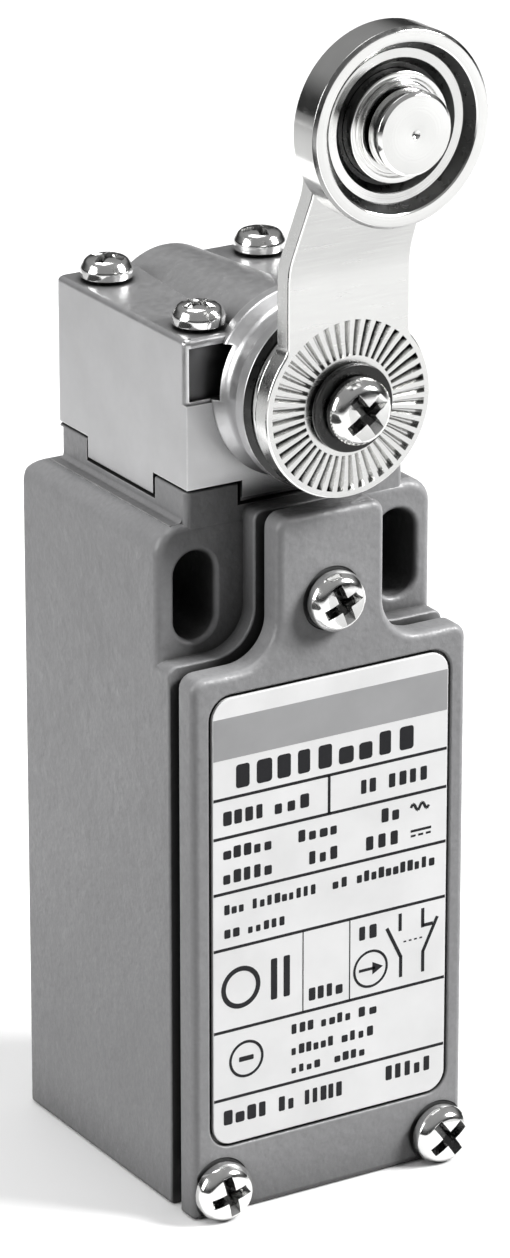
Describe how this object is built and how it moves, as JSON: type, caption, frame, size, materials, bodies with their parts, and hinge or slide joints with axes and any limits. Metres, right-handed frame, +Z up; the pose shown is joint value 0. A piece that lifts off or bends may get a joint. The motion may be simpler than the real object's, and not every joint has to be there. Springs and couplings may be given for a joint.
{
  "type": "limit switch",
  "caption": "Compact metal limit switch with a castellated turning head, a cranked side lever and a steel roller, and a contact block behind its screwed front cover.",
  "frame": {"origin": "middle of the back mounting face, at the height of the two mounting slots", "axes": "+Z up towards the lever, +Y out of the back mounting face, +X to the right seen from the cover"},
  "size_m": [0.0304, 0.0452, 0.1172],
  "materials": {
    "casing_paint": "matt grey stoved enamel on die cast metal",
    "cast_zinc": "as-cast, lightly blasted",
    "plated_steel": "bright zinc plated steel",
    "spring_steel": "oiled hardened steel",
    "brass": "bright brass with silver contacts",
    "bronze": "sintered bronze",
    "rubber": "matt nitrile rubber",
    "label": "printed foil",
    "black_plastic": "moulded thermoset",
    "white_plastic": "moulded acetal"
  },
  "bodies": {
    "switch_body": {"block_front": "black_plastic", "block_screw_left": "plated_steel", "block_screw_right": "plated_steel", "carrier_spring": "spring_steel", "casing": "casing_paint", "clamp_nc_left": "plated_steel", "clamp_nc_right": "plated_steel", "clamp_no_left": "plated_steel", "clamp_no_right": "plated_steel", "contact_block": "black_plastic", "cover_gasket": "rubber", "cover_screw_left": "plated_steel", "cover_screw_right": "plated_steel", "cover_screw_top": "plated_steel", "earth_clamp": "brass", "earth_screw": "plated_steel", "front_cover": "casing_paint", "head_gasket": "rubber", "head_housing": "cast_zinc", "head_screw_back_left": "plated_steel", "head_screw_back_right": "plated_steel", "head_screw_front_left": "plated_steel", "head_screw_front_right": "plated_steel", "name_plate": "label", "plunger_bush": "bronze", "plunger_seal": "rubber", "plunger_spring": "spring_steel", "shaft_bush": "bronze", "shaft_seal": "rubber", "terminal_nc_left": "brass", "terminal_nc_right": "brass", "terminal_no_left": "brass", "terminal_no_right": "brass", "terminal_screw_nc_left": "plated_steel", "terminal_screw_nc_right": "plated_steel", "terminal_screw_no_left": "plated_steel", "terminal_screw_no_right": "plated_steel"},
    "lever": {"shaft": "plated_steel", "cam": "spring_steel", "shaft_circlip": "spring_steel", "lever_arm": "plated_steel", "lever_washer": "spring_steel", "lever_screw": "plated_steel", "roller_axle": "plated_steel", "axle_washer": "spring_steel"},
    "roller": {"roller": "plated_steel", "roller_bush": "spring_steel"},
    "plunger": {"cam_follower": "spring_steel", "push_rod": "plated_steel"},
    "carrier": {"contact_carrier": "white_plastic", "nc_contact_spring": "spring_steel", "no_contact_spring": "spring_steel"},
    "nc_bridge": {"nc_bridge": "brass"},
    "no_bridge": {"no_bridge": "brass"}
  },
  "joints": [
    {"name": "lever_turn", "type": "hinge", "parent": "switch_body", "child": "lever", "pos_m": [0, -0.0324, 0.0192], "axis": [0, 1, 0], "range_deg": [-75, 75], "stiffness_Nm_per_rad": 0.1},
    {"name": "roller_spin", "type": "hinge", "parent": "lever", "child": "roller", "pos_m": [0, -0.0392, 0.0474], "axis": [0, 1, 0], "continuous": true},
    {"name": "plunger_slide", "type": "slide", "parent": "switch_body", "child": "plunger", "axis": [0, 0, -1], "range_m": [0, 0.0024], "stiffness_N_per_m": 600, "springref_m": -0.003, "deforming": ["plunger_spring"]},
    {"name": "carrier_slide", "type": "slide", "parent": "switch_body", "child": "carrier", "axis": [0, 0, -1], "range_m": [0, 0.0024], "deforming": ["carrier_spring"]},
    {"name": "nc_bridge_lag", "type": "slide", "parent": "carrier", "child": "nc_bridge", "axis": [0, 0, 1], "range_m": [0, 0.0005], "deforming": ["nc_contact_spring"]},
    {"name": "no_bridge_lag", "type": "slide", "parent": "carrier", "child": "no_bridge", "axis": [0, 0, 1], "range_m": [0, 0.00125], "deforming": ["no_contact_spring"]}
  ],
  "couplings": [
    {"joint": "carrier_slide", "follows": "plunger_slide", "ratio": 1},
    {"joint": "nc_bridge_lag", "follows": "plunger_slide", "ratio": 0.2},
    {"joint": "no_bridge_lag", "follows": "plunger_slide", "ratio": 0.5}
  ]
}
